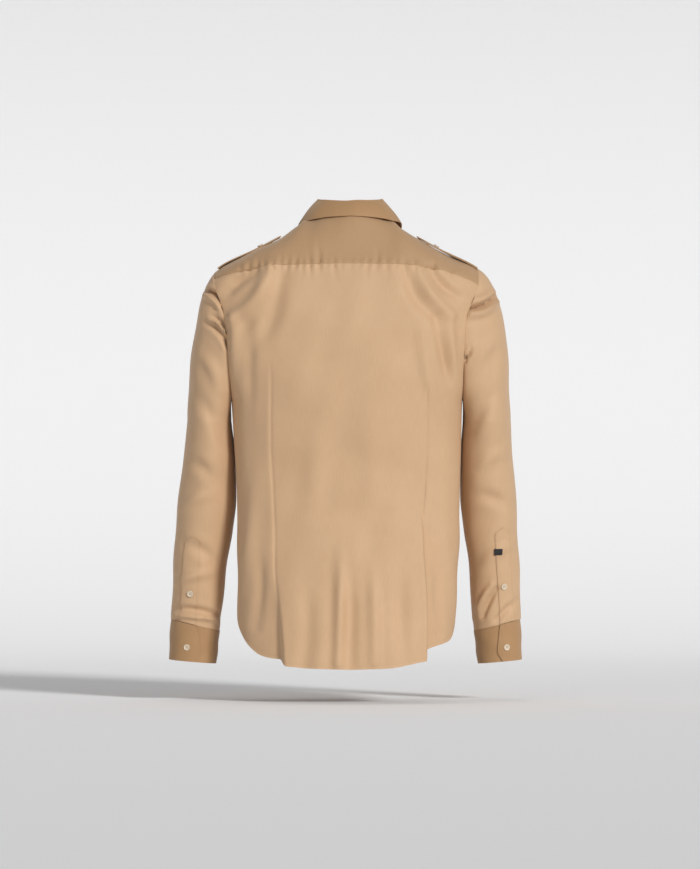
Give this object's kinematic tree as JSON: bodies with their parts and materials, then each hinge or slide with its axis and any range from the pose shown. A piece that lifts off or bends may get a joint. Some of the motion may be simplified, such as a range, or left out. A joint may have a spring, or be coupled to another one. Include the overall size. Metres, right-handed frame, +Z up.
{
  "type": "shirt",
  "caption": "Long-sleeved button-front shirt on its worn form: fold-down collar, back yoke, darted back, shoulder straps, pointed sleeve plackets, shirt-tail hem.",
  "frame": {"origin": "middle of the neck opening, at the height of the neck seam's back, where the wearer's neck and shoulders hold the shirt", "axes": "+Z up, +Y towards the wearer's front, +X towards the wearer's right"},
  "size_m": [0.605, 0.2771, 0.7988],
  "materials": {
    "fabric": "fine khaki cotton satin weave with a soft sheen",
    "button": "pale cream pearl, four holes",
    "tab": "plain black woven tab"
  },
  "bodies": {
    "root": {"back_panel": "fabric", "back_yoke": "fabric", "button_collar": "button", "button_cuff_left": "button", "button_cuff_right": "button", "button_front_1": "button", "button_front_2": "button", "button_front_3": "button", "button_front_4": "button", "button_front_5": "button", "button_front_6": "button", "button_front_7": "button", "button_placket_left": "button", "button_placket_right": "button", "button_strap_left": "button", "button_strap_right": "button", "collar_fall": "fabric", "collar_stand": "fabric", "cuff_left": "fabric", "cuff_right": "fabric", "epaulette_left": "fabric", "epaulette_right": "fabric", "front_left": "fabric", "front_placket": "fabric", "front_right": "fabric", "label_tab": "tab", "sleeve_left": "fabric", "sleeve_placket_left": "fabric", "sleeve_placket_right": "fabric", "sleeve_right": "fabric"}
  },
  "joints": []
}
